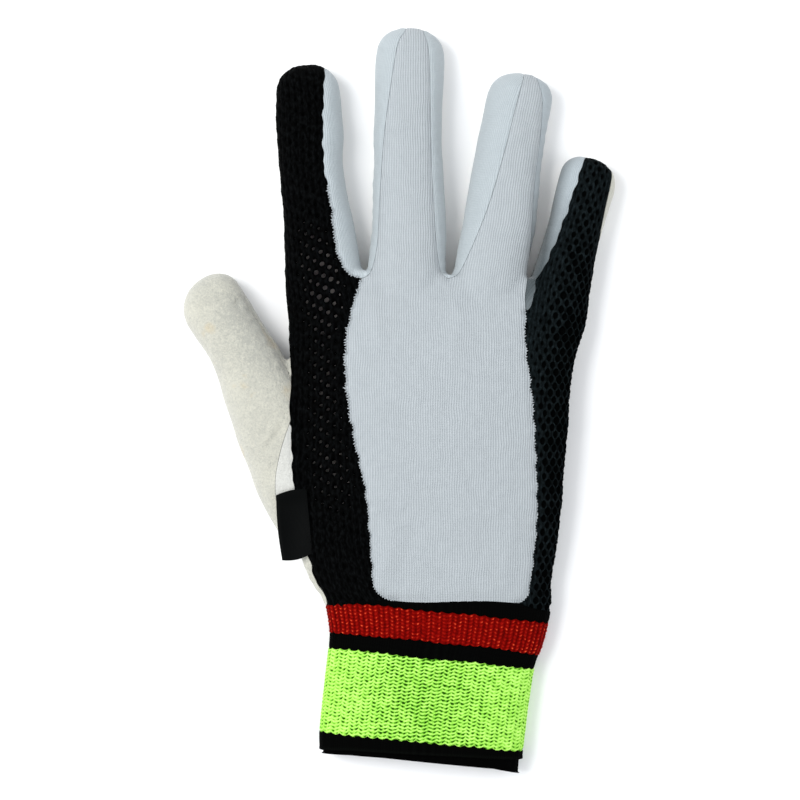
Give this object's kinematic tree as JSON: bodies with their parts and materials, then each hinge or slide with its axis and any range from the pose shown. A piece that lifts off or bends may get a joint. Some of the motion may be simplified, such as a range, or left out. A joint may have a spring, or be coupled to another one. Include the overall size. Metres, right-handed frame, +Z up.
{
  "type": "wicketkeeping inner glove",
  "caption": "Right-hand cricket wicketkeeping inner glove with a knit back, mesh sides, leather palm and a ribbed knitted cuff, lying palm down.",
  "frame": {"origin": "Centre of the bounding box seen from above, on the surface that the glove rests on.", "axes": "+Y from the cuff to the fingertips, +X from the thumb side to the little finger side, +Z up out of the back of the glove."},
  "size_m": [0.1397, 0.2424, 0.0219],
  "materials": {
    "white_knit": "fine white cotton jersey, matt, with upright wales",
    "fourchette_knit": "the same white jersey on the sides of the fingers",
    "black_mesh": "black warp-knit mesh with small round holes",
    "chamois_leather": "cream chamois leather with a short soft nap",
    "black_yarn": "black elastic rib knit, matt",
    "red_yarn": "red rib knit with plump staggered loops",
    "lime_yarn": "bright lime rib knit with plump staggered loops",
    "black_satin": "smooth black woven satin ribbon"
  },
  "bodies": {
    "root": {"back_panel": "white_knit", "fourchette_index_middle": "fourchette_knit", "fourchette_middle_ring": "fourchette_knit", "fourchette_ring_little": "fourchette_knit", "index_mesh_panel": "black_mesh", "little_mesh_panel": "black_mesh", "thumb_back_panel": "chamois_leather", "thumb_palm_panel": "chamois_leather", "thumb_gusset": "chamois_leather", "palm_panel": "chamois_leather", "cuff_join_band": "black_yarn", "cuff_red_band": "red_yarn", "cuff_black_band": "black_yarn", "cuff_lime_band": "lime_yarn", "cuff_hem": "black_yarn", "side_label": "black_satin"}
  },
  "joints": []
}
